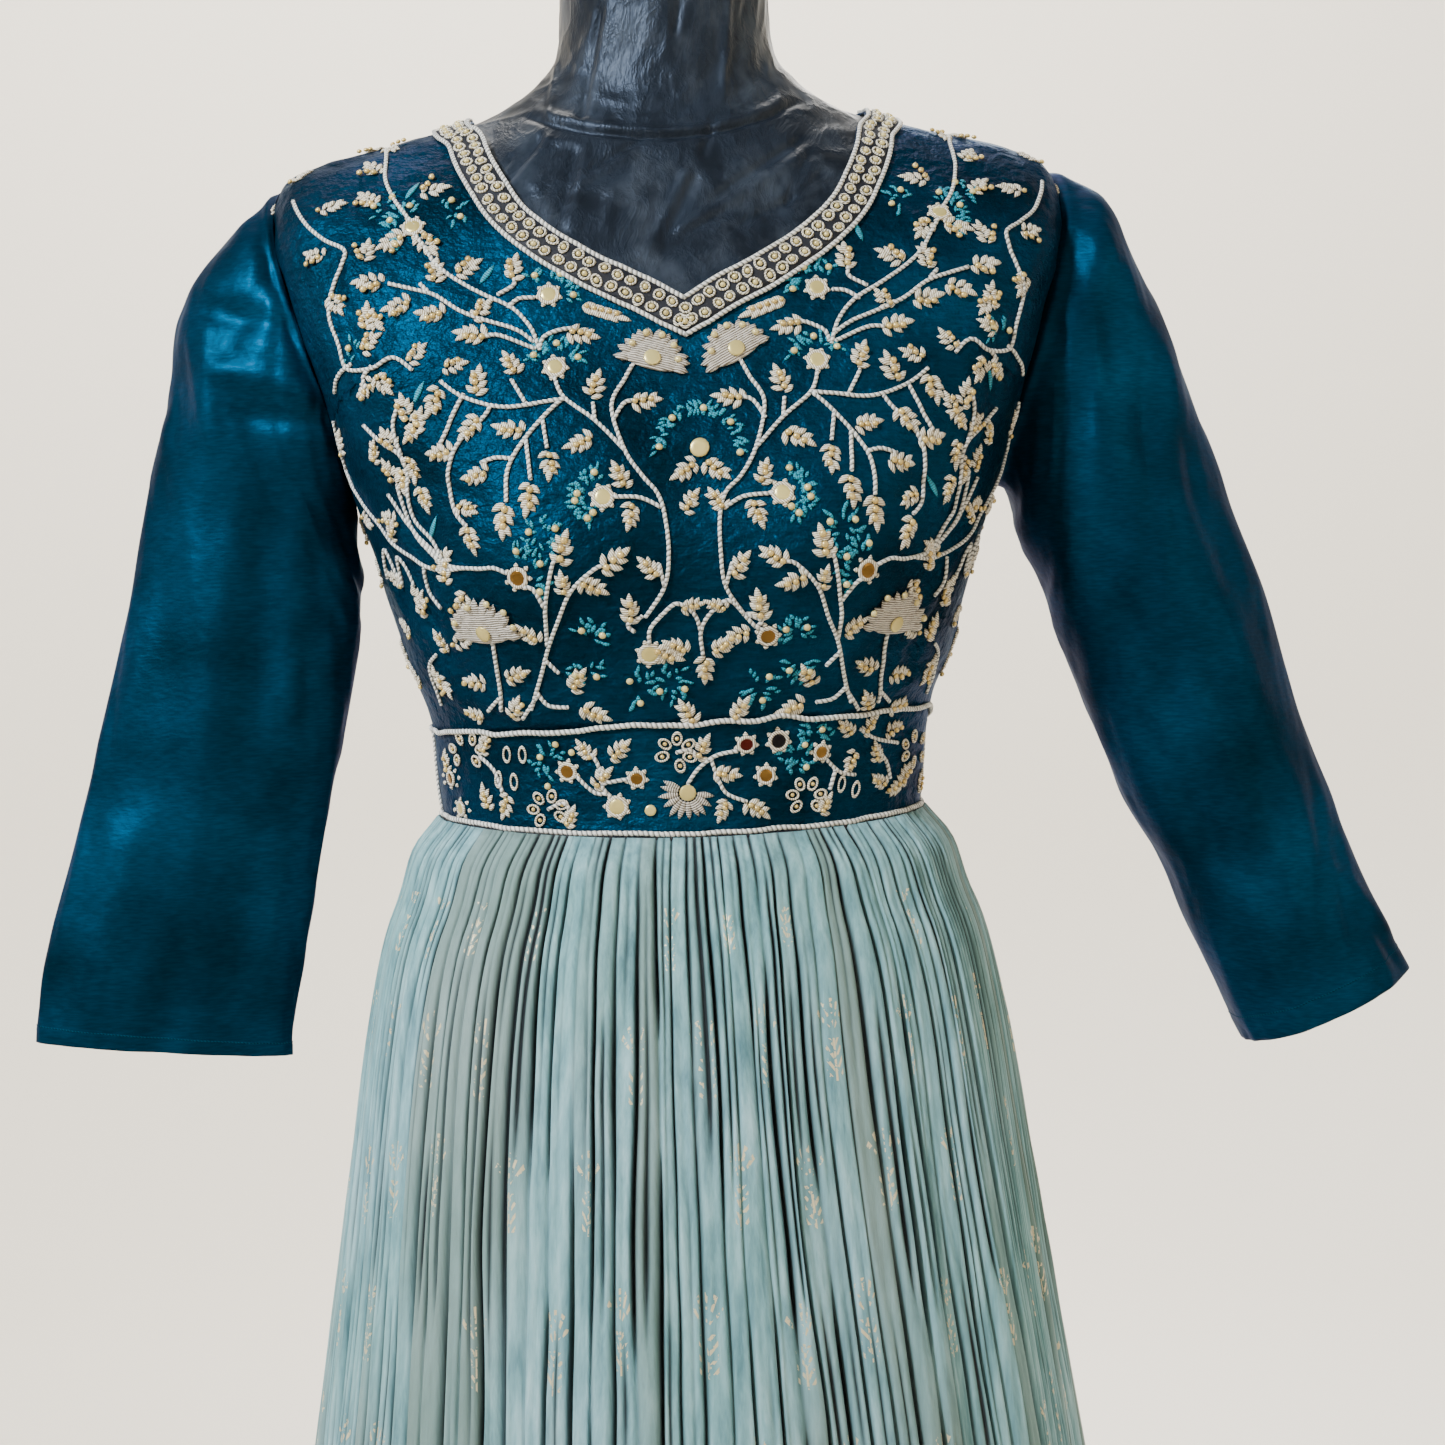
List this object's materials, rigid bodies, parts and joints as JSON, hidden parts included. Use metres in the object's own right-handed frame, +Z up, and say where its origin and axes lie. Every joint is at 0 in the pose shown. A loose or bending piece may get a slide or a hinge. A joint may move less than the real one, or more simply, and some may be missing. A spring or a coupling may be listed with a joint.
{
  "type": "silk gown on a limbless dress form",
  "caption": "Long gathered silk gown with an embroidered bodice, V neck and three-quarter sleeves, filled out by a black limbless dress form on a round stand.",
  "frame": {"origin": "On the floor at the axis of the stand, at the middle of the underside of its base.", "axes": "+Z up, the front of the gown faces -Y, +X is the wearer's left."},
  "size_m": [0.6835, 0.5603, 1.512],
  "materials": {
    "teal_satin": "deep teal silk satin with a soft sheen",
    "powder_blue_crepe": "crinkled matt silk with pale gold foil sprigs",
    "navy_border": "dark ground cloth under coiled beads",
    "silver_cord": "couched twisted cord and stitched thread",
    "form_cover": "black creased cover with a slight shine",
    "stand_metal": "black powder coat",
    "gold_bead": "pale gold beads, rings and sequins",
    "mirror_disc": "small round foil mirrors"
  },
  "bodies": {
    "root": {"bodice_front": "teal_satin", "bodice_back": "teal_satin", "waistband_front": "teal_satin", "waistband_back": "teal_satin", "skirt_front": "powder_blue_crepe", "skirt_back": "powder_blue_crepe", "sleeve_left": "teal_satin", "sleeve_right": "teal_satin", "neck_border": "navy_border", "neck_cord_inner": "silver_cord", "neck_cord_outer": "silver_cord", "waist_cord_upper": "silver_cord", "waist_cord_lower": "silver_cord", "form_torso": "form_cover", "form_flange": "stand_metal", "stand_pole": "stand_metal", "stand_base": "stand_metal"}
  },
  "joints": []
}
